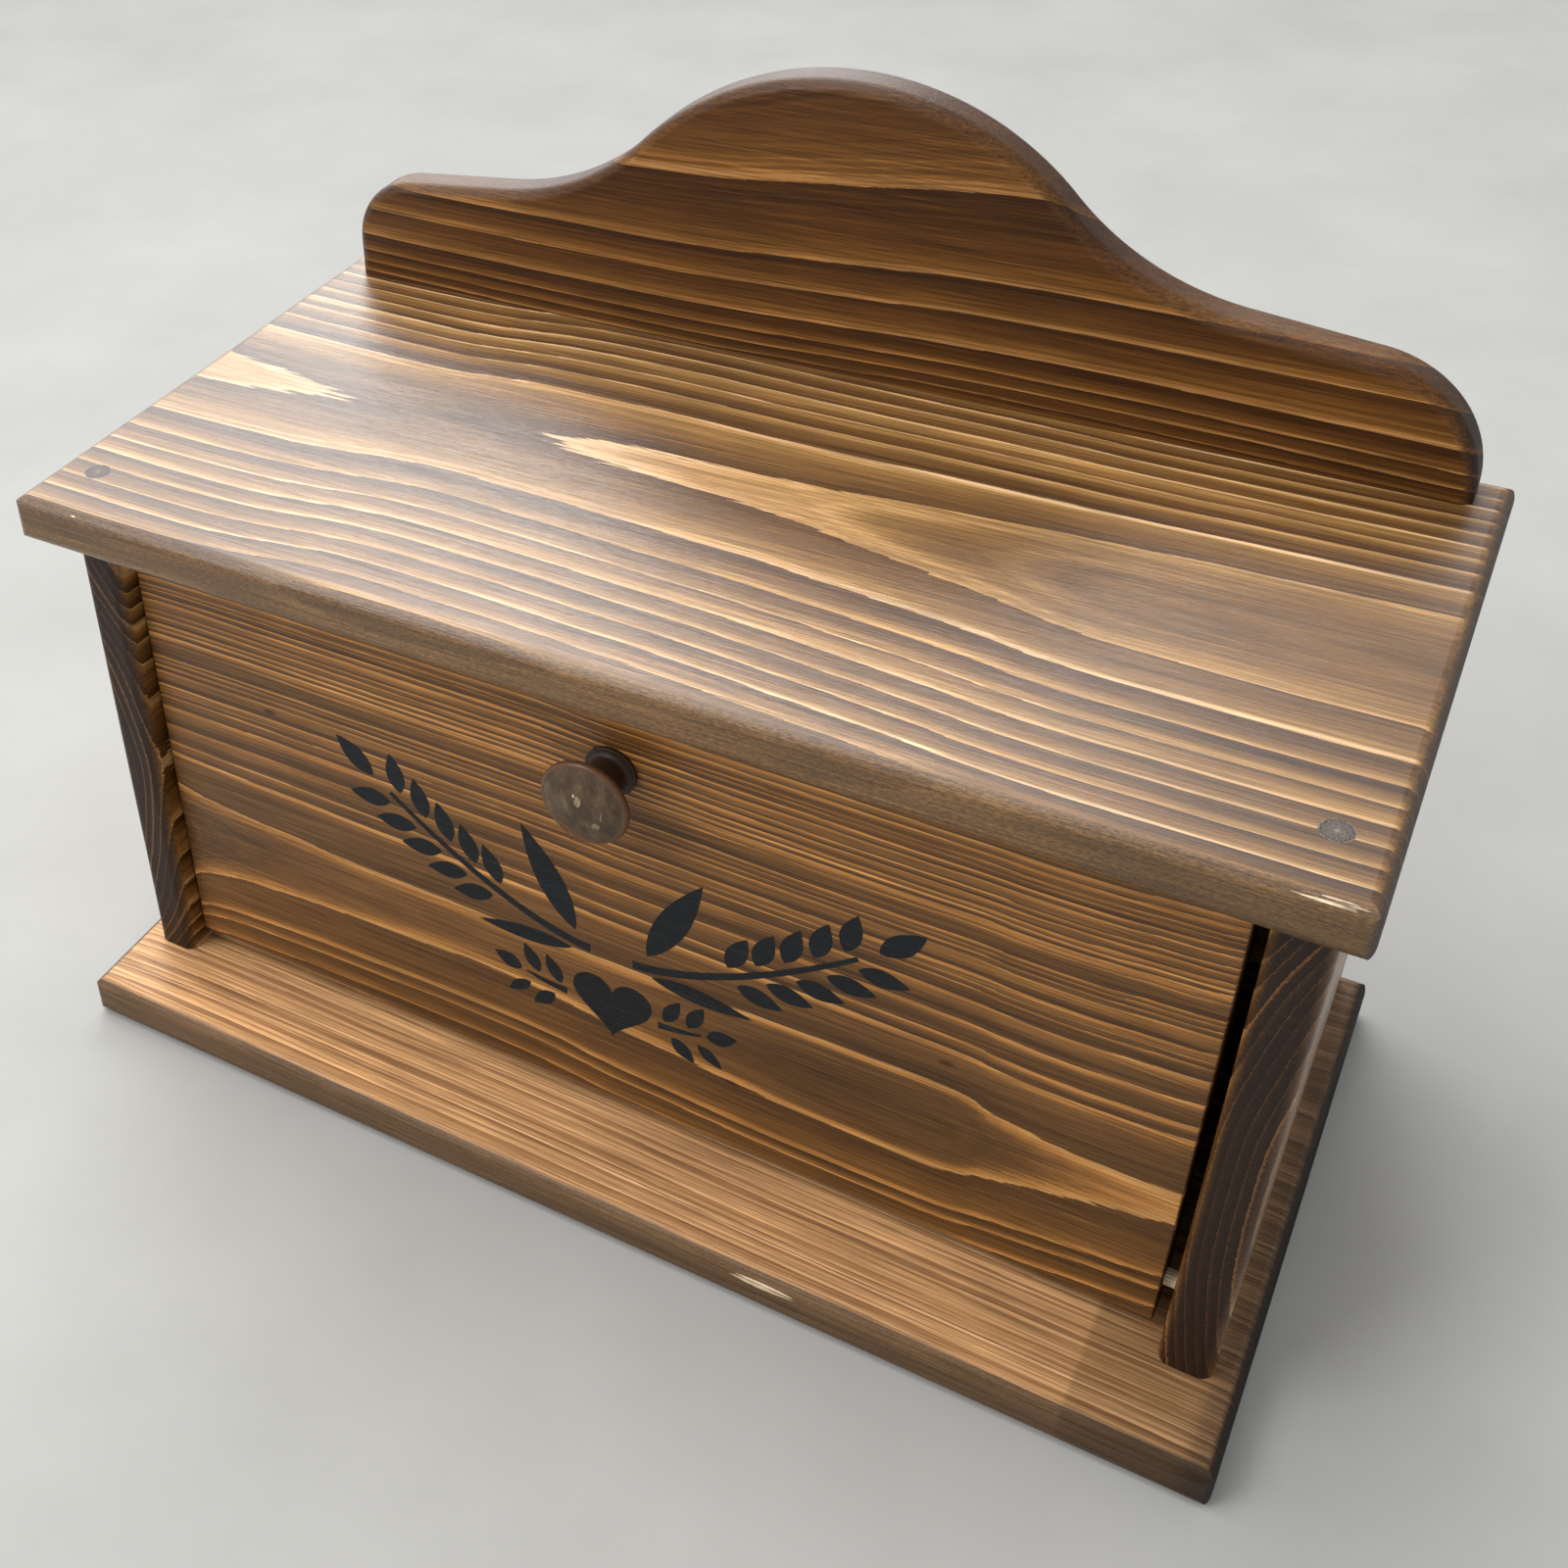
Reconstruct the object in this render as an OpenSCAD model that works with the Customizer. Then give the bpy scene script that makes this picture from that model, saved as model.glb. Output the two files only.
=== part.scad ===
// Country-style bread box: a pine case with a drop-down front and a scalloped backsplash.
// Millimetres, +Z up, the back to +Y. The origin is the centre of the base board's underside.

/* [Boards] */
// Thickness of every board
board_t = 19; // [17:0.5:22]
// Radius routed on the boards' edges
edge_r = 5; // [2:0.5:7]
// Plan radius at the corners of the base and the top
corner_r = 4; // [1:0.5:8]

/* [Case] */
// Width across the outer faces of the side boards
case_w = 463; // [440:1:560]
// Depth of the side boards, front to back
case_d = 216; // [190:1:260]
// Height of the side boards
case_h = 223; // [180:1:280]
// How far the base stands ahead of the side boards
base_front = 35; // [24:1:60]
// How far the base stands beyond each side board
base_side = 10.5; // [6:0.5:20]
// How far the top stands ahead of the side boards
top_front = 19; // [12:1:32]
// How far the top stands beyond each side board
top_side = 8.5; // [6:0.5:20]
// How far the base and the top stand behind the side boards
back_over = 5; // [3:0.5:12]

/* [Back panel] */
// Thickness of the plywood back
panel_t = 6; // [4:0.5:8]
// Width of the rebate in each side board that takes the back
rebate_w = 9.5; // [7:0.5:11]
// Play between the back and the boards round it
panel_play = 0.5; // [0.2:0.1:1]

/* [Backsplash] */
// Height of the crest above the top board
splash_h = 116; // [106:1:126]
// Distance of each end from the outer face of the side board below it
splash_end = 3.5; // [0:0.5:8]
// Distance of the back face from the top board's back edge
splash_back = 3; // [0:0.5:8]
// Distance of the crest from the middle of the case, towards the left
crest_shift = 5; // [0:0.5:12]
// Radius of the crest
crest_r = 118.5; // [105:0.5:135]
// Distance from the crest's middle to where each cove ends
cove_end = 149; // [142:1:154]
// Height of the shoulder where the cove ends
shoulder_h = 50.5; // [46:0.5:60]
// Fall of the shoulder towards the end, in degrees
shoulder_fall = 6; // [2:0.5:9]
// Radius that rounds the left end
left_end_r = 30; // [24:1:34]
// Radius that rounds the right end
right_end_r = 44; // [28:1:46]

/* [Door] */
// How far the door lies behind the side boards' front edges
door_recess = 9; // [6:0.5:20]
// Gap between the door and the left side board
gap_left = 1; // [0.5:0.25:5]
// Gap between the door and the right side board
gap_right = 4.5; // [0.5:0.25:5]
// Gap under the door
gap_under = 8; // [6:0.5:12]
// Gap over the door
gap_over = 3; // [2:0.5:6]
// Radius that eases the door's edges
door_ease = 1.2; // [0.5:0.1:3]

/* [Pivot dowels] */
// Diameter of the dowel pins
pin_d = 6.35; // [5:0.05:8]
// Length of the dowel pins
pin_l = 38; // [32:1:44]
// Length of each pin that is glued into its side board
pin_hold = 12; // [9:0.5:14]
// Distance of the pivot axis behind the door's face
pivot_in = 7.5; // [6:0.5:10]
// Height of the pivot axis above the door's lower edge
pivot_up = 17; // [12:0.5:24]
// Radial clearance of a pin in the door
pin_play = 0.08; // [0.04:0.01:0.1]

/* [Knob] */
// Diameter of the knob's head
knob_d = 34; // [30:0.5:40]
// How far the knob stands out of the door
knob_out = 25; // [22:0.5:30]
// Diameter of the knob's foot
foot_d = 20; // [17:0.5:22]
// Diameter of the knob's neck
neck_d = 14; // [12:0.5:15]
// Distance of the knob's middle below the door's upper edge
knob_down = 40.5; // [36:0.5:90]
// Distance of the knob from the door's middle, towards the left
knob_shift = 1; // [0:0.5:6]

/* [Wood screws] */
// Diameter of the screws' shanks
screw_d = 4; // [3.5:0.1:4.6]
// Diameter of the screws' heads
head_d = 8; // [7:0.1:9]
// Length of the screws that join the boards
screw_l = 38; // [32:1:42]
// Length of the knob's screw
knob_screw_l = 32; // [28:0.5:36]
// Diameter of the plugs over the screws in the top
plug_d = 10; // [9.4:0.1:12]
// Thickness of the plugs
plug_t = 6; // [4:0.5:8]
// Distance of the plugs behind the side boards' front edges
plug_back = 10; // [8:0.5:40]

/* [Magnetic catch] */
// Width of the catch's housing
catch_w = 36; // [32:0.5:44]
// Depth of the catch's housing
catch_d = 20; // [18:0.5:26]
// Height of the catch's housing
catch_h = 16; // [15:0.5:20]
// Width of each of the housing's two ears
ear_w = 10; // [9:0.5:14]
// Thickness of the ears
ear_t = 3; // [2:0.5:4]
// Thickness of the magnet
magnet_t = 4; // [3:0.5:5]
// Thickness of the steel pole plates
pole_t = 1.5; // [1:0.1:2]
// Thickness of the strike plate on the door
strike_t = 1.2; // [0.8:0.1:2]
// Gap between the pole plates and the strike plate when the door is shut
strike_gap = 0.2; // [0.1:0.05:0.5]

/* [Hidden] */
$fn = 96;
// Clearance round what is glued, screwed or nailed into wood
fit = 0.05;
// Length by which a cut passes its own face
over = 1;

// Case
base_w = case_w + 2 * base_side;
base_d = case_d + base_front + back_over;
back_y = base_d / 2;
side_back_y = back_y - back_over;
side_front_y = side_back_y - case_d;
side_inner_x = case_w / 2 - board_t;
side_mid_x = case_w / 2 - board_t / 2;
floor_z = board_t;
ceiling_z = board_t + case_h;
top_w = case_w + 2 * top_side;
top_front_y = side_front_y - top_front;
top_z = ceiling_z + board_t;

// Backsplash: the cove's radius makes it touch both the crest's arc and the shoulder's line
splash_front_y = back_y - splash_back - board_t;
splash_mid_y = splash_front_y + board_t / 2;
crest_c = [0, splash_h - crest_r];
fall_out = [sin(shoulder_fall), cos(shoulder_fall)];
cove_stop = [cove_end, shoulder_h];
crest_to_stop = cove_stop - crest_c;
cove_r = (crest_to_stop * crest_to_stop - pow(crest_r, 2)) / (2 * (crest_r - crest_to_stop * fall_out));
cove_c = cove_stop + cove_r * fall_out;
crest_edge_a = atan2(cove_c.y - crest_c.y, cove_c.x - crest_c.x);
arc_step = 2.5;
edge_steps = 6;

// Door and its pivots
door_left_x = gap_left - side_inner_x;
door_w = 2 * side_inner_x - gap_left - gap_right;
door_mid_x = door_left_x + door_w / 2;
door_front_y = side_front_y + door_recess;
door_back_y = door_front_y + board_t;
door_z = floor_z + gap_under;
door_h = case_h - gap_under - gap_over;
pivot_y = door_front_y + pivot_in;
pivot_z = door_z + pivot_up;
pin_end_play = 1;
flutes = 14;
flute_r = 0.4;
flute_facets = 24;
pin_chamfer = 0.8;

// Knob
knob_x = door_mid_x - knob_shift;
knob_z = door_z + door_h - knob_down;
knob_rim_r = 1.8;
foot_t = 2;
foot_ease = 0.6;
dome_h = knob_out / 7.5;

// Fasteners
head_t = 3.2;
head_land = 0.6;
tip_l = 7;
tip_r = 0.4;
slot_t = 1;
slot_deep = 1.6;
screw_in_y = 25;
rear_screw_in = 1.5;
splash_screw_x = case_w / 3;
nail_d = 1.6;
nail_l = 20;
nail_head_d = 4.4;
nail_head_t = 0.8;
nails_a_side = 4;
nail_end = 25;
nail_x = side_inner_x + rebate_w / 2;
nail_step = (case_h - 2 * nail_end) / (nails_a_side - 1);
small_d = 3;
small_head_d = 5.6;
small_head_t = 1.8;
small_l = 14;
small_tip_l = 3;
knob_head_t = 2.4;

// Catch: the housing hangs from the top, and its poles face the strike plate
strike_back_y = door_back_y + strike_t;
pole_front_y = strike_back_y + strike_gap;
pole_out = 1;
catch_front_y = pole_front_y + pole_out;
catch_mid_z = ceiling_z - catch_h / 2;
pole_inset = 3;
pole_w = catch_w - 2 * pole_inset;
pole_l = catch_d - pole_inset;
poles_h = magnet_t + 2 * pole_t;
magnet_side = 1;
magnet_front = 2;
magnet_behind = 1;
pocket_play = 0.2;
pocket_w = pole_w + 2 * pocket_play;
pocket_h = poles_h + 2 * pocket_play;
strike_margin = 0.8;
strike_r = 2;
strike_w = catch_w;
strike_h = poles_h + 2 * strike_margin;
ear_d = 12;
ear_r = 3;
ear_y = catch_front_y + catch_d / 2;
ear_x = catch_w / 2 + ear_w / 2;

// ---- Shapes ----

// Rectangle from the origin, with each corner an arc
module round_rect(w, h, r) {
    translate([r, 0]) square([w - 2 * r, h]);
    translate([0, r]) square([w, h - 2 * r]);
    for (x = [r, w - r], y = [r, h - r]) translate([x, y]) circle(r);
}

// Board with its upper and lower edges routed round and its plan corners softened
module routed_board(w, d, t, r, plan_r) {
    intersection() {
        translate([0, 0, -over]) linear_extrude(t + 2 * over) round_rect(w, d, plan_r);
        translate([0, d + over, 0]) rotate([90, 0, 0]) linear_extrude(d + 2 * over) round_rect(w, t, r);
        translate([-over, 0, 0]) rotate([90, 0, 90]) linear_extrude(w + 2 * over) round_rect(d, t, r);
    }
}

// Countersunk screw or its hole, head up, with the head's face at z = 0
module flat_screw(l, grow = 0) {
    head_r = head_d / 2 + grow;
    shank_r = screw_d / 2 + grow;
    rotate_extrude() polygon([[0, grow], [head_r, grow], [head_r, -head_land], [shank_r, -head_t],
        [shank_r, tip_l - l], [tip_r + grow, -l - grow], [0, -l - grow]]);
}

// Cross recess that a screwdriver turns, cut down from z = 0
module cross_recess(reach) {
    for (a = [0, 90]) rotate(a) translate([-reach, -slot_t / 2, -slot_deep])
        cube([2 * reach, slot_t, slot_deep + over]);
}

module driven_screw(l) {
    difference() {
        flat_screw(l);
        cross_recess(head_d / 3);
    }
}

// Small round-headed screw or its hole, head up, with the head's seat at z = 0
module round_screw(l, d, grow = 0) {
    rotate_extrude() polygon([[0, grow], [d / 2 + grow, grow], [d / 2 + grow, small_tip_l - l],
        [tip_r + grow, -l - grow], [0, -l - grow]]);
}

module round_head(d, t) {
    dome_r = (pow(d / 2, 2) + pow(t, 2)) / (2 * t);
    intersection() {
        translate([0, 0, t - dome_r]) sphere(dome_r);
        cylinder(h = t + over, d = d);
    }
}

// Dowel pin along +X with flutes and chamfered ends
module fluted_pin(d, l) {
    intersection() {
        rotate([90, 0, 90]) linear_extrude(l) difference() {
            circle(d = d);
            for (i = [0:flutes - 1]) rotate(i * 360 / flutes) translate([d / 2, 0])
                circle(flute_r, $fn = flute_facets);
        }
        rotate([0, 90, 0]) rotate_extrude() polygon([[0, 0], [d / 2 - pin_chamfer, 0],
            [d / 2 + over, pin_chamfer + over], [d / 2 + over, l - pin_chamfer - over],
            [d / 2 - pin_chamfer, l], [0, l]]);
    }
}

// ---- Case ----

module place_side_screws() {
    for (x = [-side_mid_x, side_mid_x], y = [side_front_y + screw_in_y, side_back_y - screw_in_y])
        translate([x, y, plug_t]) rotate([180, 0, 0]) children();
}

module place_top_screws() {
    for (x = [-side_mid_x, side_mid_x]) {
        translate([x, side_front_y + plug_back, top_z - plug_t]) children();
        translate([x, splash_front_y + head_d / 2 + rear_screw_in, top_z]) children();
    }
}

module place_splash_screws() {
    for (x = [-splash_screw_x, 0, splash_screw_x])
        translate([x, splash_mid_y, ceiling_z]) rotate([180, 0, 0]) children();
}

module place_nails() {
    for (x = [-nail_x, nail_x], i = [0:nails_a_side - 1])
        translate([x, side_back_y, floor_z + nail_end + i * nail_step]) rotate([-90, 0, 0]) children();
}

module base_board() {
    color("#8a6248") difference() {
        translate([-base_w / 2, -base_d / 2, 0]) routed_board(base_w, base_d, board_t, edge_r, corner_r);
        place_side_screws() flat_screw(screw_l, fit);
        place_side_screws() cylinder(h = plug_t + over, d = plug_d);
    }
}

module top_board() {
    color("#8a6a50") difference() {
        translate([-top_w / 2, top_front_y, ceiling_z])
            routed_board(top_w, back_y - top_front_y, board_t, edge_r, corner_r);
        place_top_screws() flat_screw(screw_l, fit);
        for (x = [-side_mid_x, side_mid_x]) translate([x, side_front_y + plug_back, top_z - plug_t])
            cylinder(h = plug_t + over, d = plug_d + 2 * fit);
        place_splash_screws() flat_screw(screw_l, fit);
        place_catch_screws() round_screw(small_l, small_d, fit);
    }
}

// Right side board: round front edges, a rebate for the back and a blind hole for its pivot dowel
module right_side_blank() {
    difference() {
        translate([side_inner_x, side_front_y, floor_z]) linear_extrude(case_h) {
            translate([0, edge_r]) square([board_t, case_d - edge_r]);
            translate([edge_r, 0]) square([board_t - 2 * edge_r, case_d]);
            for (x = [edge_r, board_t - edge_r]) translate([x, edge_r]) circle(edge_r);
        }
        translate([side_inner_x - over, side_back_y - panel_t, floor_z - over])
            cube([rebate_w + over, panel_t + over, case_h + 2 * over]);
        translate([side_inner_x - over, pivot_y, pivot_z]) rotate([0, 90, 0])
            cylinder(h = pin_hold + pin_end_play + over, d = pin_d + 2 * fit);
        place_side_screws() flat_screw(screw_l, fit);
        place_top_screws() flat_screw(screw_l, fit);
        place_nails() round_screw(nail_l, nail_d, fit);
    }
}

module left_side() {
    color("#3a2a22") mirror([1, 0, 0]) right_side_blank();
}

module right_side() {
    color("#3a2a22") right_side_blank();
}

module back_panel() {
    reach = side_inner_x + rebate_w - panel_play;
    color("#b08a5c") difference() {
        translate([-reach, side_back_y - panel_t, floor_z]) cube([2 * reach, panel_t, case_h - panel_play]);
        place_nails() round_screw(nail_l, nail_d, fit);
    }
}

module back_panel_nails() {
    color("silver") place_nails() {
        round_screw(nail_l, nail_d);
        cylinder(h = nail_head_t, d = nail_head_d);
    }
}

module top_screws() {
    color("silver") place_top_screws() driven_screw(screw_l);
}

module base_screws() {
    color("silver") place_side_screws() driven_screw(screw_l);
}

module backsplash_screws() {
    color("silver") place_splash_screws() driven_screw(screw_l);
}

module plug(side) {
    color("#4a3c34") translate([side * side_mid_x, side_front_y + plug_back, top_z - plug_t + fit])
        cylinder(h = plug_t - fit, d = plug_d);
}

module left_plug() plug(-1);

module right_plug() plug(1);

// ---- Backsplash ----
// Drawn flat: x from the crest's middle, y up from the foot, z from the back face to the front.
// Stations follow the outline. Each is a point with the direction that leads into the wood, and
// carries one ring of the rounded edge's section. The rings are joined into a closed shell.

function direction(a) = [cos(a), sin(a)];

// Stations along an arc, with the wood inside it (inward = -1) or outside it (inward = 1)
function arc_stations(c, r, from, to, inward) =
    let (steps = ceil(abs(to - from) / arc_step))
    [for (i = [0:steps]) let (a = from + (to - from) * i / steps)
        [c + r * direction(a), inward * direction(a)]];

// One half, from the foot of an end that lies reach away and has a radius of end_r to the crest's middle
function half_stations(reach, end_r) =
    let (
        fall_a = 90 - shoulder_fall,
        end_x = reach - end_r,
        end_c = [end_x, shoulder_h - (end_r + (end_x - cove_end) * fall_out.x) / fall_out.y]
    )
    concat(
        [[[reach, 0], [-1, 0]]],
        arc_stations(end_c, end_r, 0, fall_a, -1),
        arc_stations(cove_c, cove_r, fall_a + 180, crest_edge_a + 180, 1),
        arc_stations(crest_c, crest_r, crest_edge_a, 90, -1));

// The other half, mirrored, from the crest's middle to the foot, without the crest's middle itself
function mirrored(stations) =
    [for (i = [len(stations) - 2:-1:0]) [for (v = stations[i]) [-v.x, v.y]]];

// Section of the edge: depth into the wood and height above the back face
edge_section = concat(
    [for (i = [0:edge_steps]) edge_r * [1 - sin(i * 90 / edge_steps), 1 - cos(i * 90 / edge_steps)]],
    [for (i = [edge_steps:-1:0])
        [edge_r * (1 - sin(i * 90 / edge_steps)), board_t - edge_r * (1 - cos(i * 90 / edge_steps))]]);

module rounded_shell(stations) {
    n = len(stations);
    m = len(edge_section);
    polyhedron(
        points = [for (s = stations, e = edge_section) let (p = s[0] + e[0] * s[1]) [p.x, p.y, e[1]]],
        faces = concat(
            [[for (i = [0:n - 1]) i * m]],
            [[for (i = [n - 1:-1:0]) i * m + m - 1]],
            [[for (j = [m - 1:-1:0]) j, for (j = [0:m - 1]) (n - 1) * m + j]],
            [for (i = [0:n - 2], j = [0:m - 2]) [i * m + j, i * m + j + 1, (i + 1) * m + j + 1]],
            [for (i = [0:n - 2], j = [0:m - 2]) [i * m + j, (i + 1) * m + j + 1, (i + 1) * m + j]]));
}

module backsplash() {
    half_w = case_w / 2 - splash_end;
    right_half = half_stations(half_w + crest_shift, right_end_r);
    left_half = half_stations(half_w - crest_shift, left_end_r);
    color("#4a3015") difference() {
        translate([-crest_shift, splash_front_y + board_t, top_z]) rotate([90, 0, 0])
            rounded_shell(concat(right_half, mirrored(left_half)));
        place_splash_screws() flat_screw(screw_l, fit);
    }
}

// ---- Pivot dowels ----

module right_pivot_dowel() {
    color("#d8c6a4") translate([side_inner_x + pin_hold - pin_l, pivot_y, pivot_z]) fluted_pin(pin_d, pin_l);
}

module left_pivot_dowel() {
    color("#d8c6a4") translate([-side_inner_x - pin_hold, pivot_y, pivot_z]) fluted_pin(pin_d, pin_l);
}

// ---- Magnetic catch ----

module place_catch_screws() {
    for (x = [-ear_x, ear_x]) translate([door_mid_x + x, ear_y, ceiling_z - ear_t])
        rotate([180, 0, 0]) children();
}

module catch_housing() {
    color("#6b4a2c") difference() {
        union() {
            translate([door_mid_x - catch_w / 2, catch_front_y, ceiling_z - catch_h])
                cube([catch_w, catch_d, catch_h]);
            translate([door_mid_x - catch_w / 2 - ear_w, ear_y - ear_d / 2, ceiling_z - ear_t])
                linear_extrude(ear_t) round_rect(catch_w + 2 * ear_w, ear_d, ear_r);
        }
        translate([door_mid_x - pocket_w / 2, catch_front_y - over, catch_mid_z - pocket_h / 2])
            cube([pocket_w, pole_l - pole_out + pocket_play + over, pocket_h]);
        place_catch_screws() translate([0, 0, -ear_t - over])
            cylinder(h = ear_t + 2 * over, d = small_d + 2 * fit);
    }
}

module catch_magnet() {
    magnet_w = pole_w - 2 * magnet_side;
    magnet_l = pole_l - magnet_front - magnet_behind;
    color("#2c2a2a")
        translate([door_mid_x - magnet_w / 2, pole_front_y + magnet_front, catch_mid_z - magnet_t / 2])
            cube([magnet_w, magnet_l, magnet_t]);
}

module catch_pole_plates() {
    color("silver") for (z = [-magnet_t / 2 - pole_t, magnet_t / 2])
        translate([door_mid_x - pole_w / 2, pole_front_y, catch_mid_z + z]) cube([pole_w, pole_l, pole_t]);
}

module catch_screws() {
    color("silver") place_catch_screws() difference() {
        union() {
            round_screw(small_l, small_d);
            round_head(small_head_d, small_head_t);
        }
        translate([0, 0, small_head_t]) cross_recess(small_head_d / 3);
    }
}

// ---- Door ----

module place_knob_screw() {
    translate([knob_x, door_back_y, knob_z]) rotate([-90, 0, 0]) children();
}

module place_strike_screw() {
    translate([door_mid_x, strike_back_y, catch_mid_z]) rotate([-90, 0, 0]) children();
}

module door_panel() {
    color("#6b4a2c") difference() {
        translate([door_left_x, door_front_y, door_z]) intersection() {
            translate([-over, 0, 0]) rotate([90, 0, 90]) linear_extrude(door_w + 2 * over)
                round_rect(board_t, door_h, door_ease);
            translate([0, 0, -over]) linear_extrude(door_h + 2 * over) round_rect(door_w, board_t, door_ease);
            translate([0, board_t + over, 0]) rotate([90, 0, 0]) linear_extrude(board_t + 2 * over)
                round_rect(door_w, door_h, door_ease);
        }
        for (x = [-side_inner_x, side_inner_x]) translate([x, pivot_y, pivot_z]) rotate([0, 90, 0])
            cylinder(h = 2 * (pin_l - pin_hold + pin_end_play), d = pin_d + 2 * pin_play, center = true);
        place_knob_screw() round_screw(knob_screw_l, screw_d, fit);
        place_strike_screw() small_flat_screw(fit);
    }
}

// Turned knob: foot, waisted neck and a domed head with a round rim
module knob_profile() {
    rim_x = knob_d / 2 - knob_rim_r;
    rim_z = knob_out - dome_h - knob_rim_r;
    head_cove_r = rim_x - neck_d / 2;
    foot_cove_r = foot_d / 2 - neck_d / 2 - foot_ease;
    dome_r = (pow(rim_x, 2) + pow(dome_h, 2)) / (2 * dome_h);
    square([neck_d / 2, rim_z]);
    square([foot_d / 2 - foot_ease, foot_t]);
    translate([0, foot_ease]) square([foot_d / 2, foot_t - 2 * foot_ease]);
    for (y = [foot_ease, foot_t - foot_ease]) translate([foot_d / 2 - foot_ease, y]) circle(foot_ease);
    difference() {
        translate([0, foot_t - foot_ease]) square([foot_d / 2 - foot_ease, foot_cove_r + foot_ease]);
        translate([foot_d / 2 - foot_ease, foot_t + foot_cove_r]) circle(foot_cove_r);
    }
    difference() {
        translate([0, rim_z - knob_rim_r - head_cove_r]) square([rim_x, head_cove_r + knob_rim_r]);
        translate([rim_x, rim_z - knob_rim_r - head_cove_r]) circle(head_cove_r);
    }
    translate([0, rim_z - knob_rim_r]) square([rim_x, 2 * knob_rim_r]);
    translate([rim_x, rim_z]) circle(knob_rim_r);
    intersection() {
        translate([0, knob_out - dome_r]) circle(dome_r);
        translate([0, rim_z]) square([rim_x, knob_out]);
    }
}

module door_knob() {
    color("#5a4636") difference() {
        translate([knob_x, door_front_y, knob_z]) rotate([90, 0, 0]) rotate_extrude() knob_profile();
        place_knob_screw() round_screw(knob_screw_l, screw_d, fit);
    }
}

module knob_screw() {
    color("silver") place_knob_screw() difference() {
        union() {
            round_screw(knob_screw_l, screw_d);
            round_head(head_d, knob_head_t);
        }
        translate([0, 0, knob_head_t]) cross_recess(head_d / 4);
    }
}

// Small countersunk screw or its hole, head up, with the head's face at z = 0
module small_flat_screw(grow = 0) {
    rotate_extrude() polygon([[0, grow], [small_head_d / 2 + grow, grow], [small_d / 2 + grow, -small_head_t],
        [small_d / 2 + grow, small_tip_l - small_l], [tip_r + grow, -small_l - grow], [0, -small_l - grow]]);
}

module strike_plate() {
    color("silver") difference() {
        translate([door_mid_x - strike_w / 2, strike_back_y, catch_mid_z - strike_h / 2]) rotate([90, 0, 0])
            linear_extrude(strike_t) round_rect(strike_w, strike_h, strike_r);
        place_strike_screw() small_flat_screw(fit);
    }
}

module strike_screw() {
    color("silver") place_strike_screw() small_flat_screw();
}

base_board();
left_side();
right_side();
top_board();
backsplash();
back_panel();
back_panel_nails();
top_screws();
base_screws();
backsplash_screws();
left_plug();
right_plug();
left_pivot_dowel();
right_pivot_dowel();
catch_housing();
catch_magnet();
catch_pole_plates();
catch_screws();
door_panel();
door_knob();
knob_screw();
strike_plate();
strike_screw();
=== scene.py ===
# %% [markdown]
# # A country bread box with a drop-down front
# The box is made of six stained pine boards: a base, two sides, a top, a scalloped backsplash and a
# door that swings down on two dowel pins. The CAD gives every board its exact place and shape, so this
# lesson keeps all of its meshes but one and spends its effort on the finish: the wood itself.
# The frame comes first. It puts every CAD node in the scene in metres, at rest. Sizes in this lesson
# are in millimetres, as a joiner measures them.

import math

import bpy
import numpy as np
from mathutils import Matrix, Vector


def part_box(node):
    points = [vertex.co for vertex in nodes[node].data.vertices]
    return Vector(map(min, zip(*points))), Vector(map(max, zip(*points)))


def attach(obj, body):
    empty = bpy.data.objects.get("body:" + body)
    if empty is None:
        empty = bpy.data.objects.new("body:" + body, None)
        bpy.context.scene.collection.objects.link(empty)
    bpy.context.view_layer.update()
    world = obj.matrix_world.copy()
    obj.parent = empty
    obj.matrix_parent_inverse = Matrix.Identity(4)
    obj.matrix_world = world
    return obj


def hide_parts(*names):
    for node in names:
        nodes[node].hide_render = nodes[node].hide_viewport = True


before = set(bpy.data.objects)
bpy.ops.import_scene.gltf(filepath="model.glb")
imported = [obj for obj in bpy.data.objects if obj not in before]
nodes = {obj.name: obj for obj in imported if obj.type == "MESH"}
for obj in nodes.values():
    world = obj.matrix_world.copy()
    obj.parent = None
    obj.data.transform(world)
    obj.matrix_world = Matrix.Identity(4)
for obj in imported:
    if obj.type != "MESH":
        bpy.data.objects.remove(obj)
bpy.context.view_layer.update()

# %% [markdown]
# ## Colours and shader nodes
# Colours are read off as sRGB hex codes, but a shader works in linear light, so one function converts
# them all. Shader trees are long, so one helper adds a node, sets it up, feeds its sockets in order and
# hands back its first output, which goes straight into the next node.

# %% Colours and nodes
def colour(code):
    """Linear RGBA of an sRGB hex code such as 8a6a50."""
    parts = np.array([int(code[i : i + 2], 16) / 255 for i in (0, 2, 4)])
    linear = np.where(parts <= 0.04045, parts / 12.92, ((parts + 0.055) / 1.055) ** 2.4)
    return [*linear.tolist(), 1.0]


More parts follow.
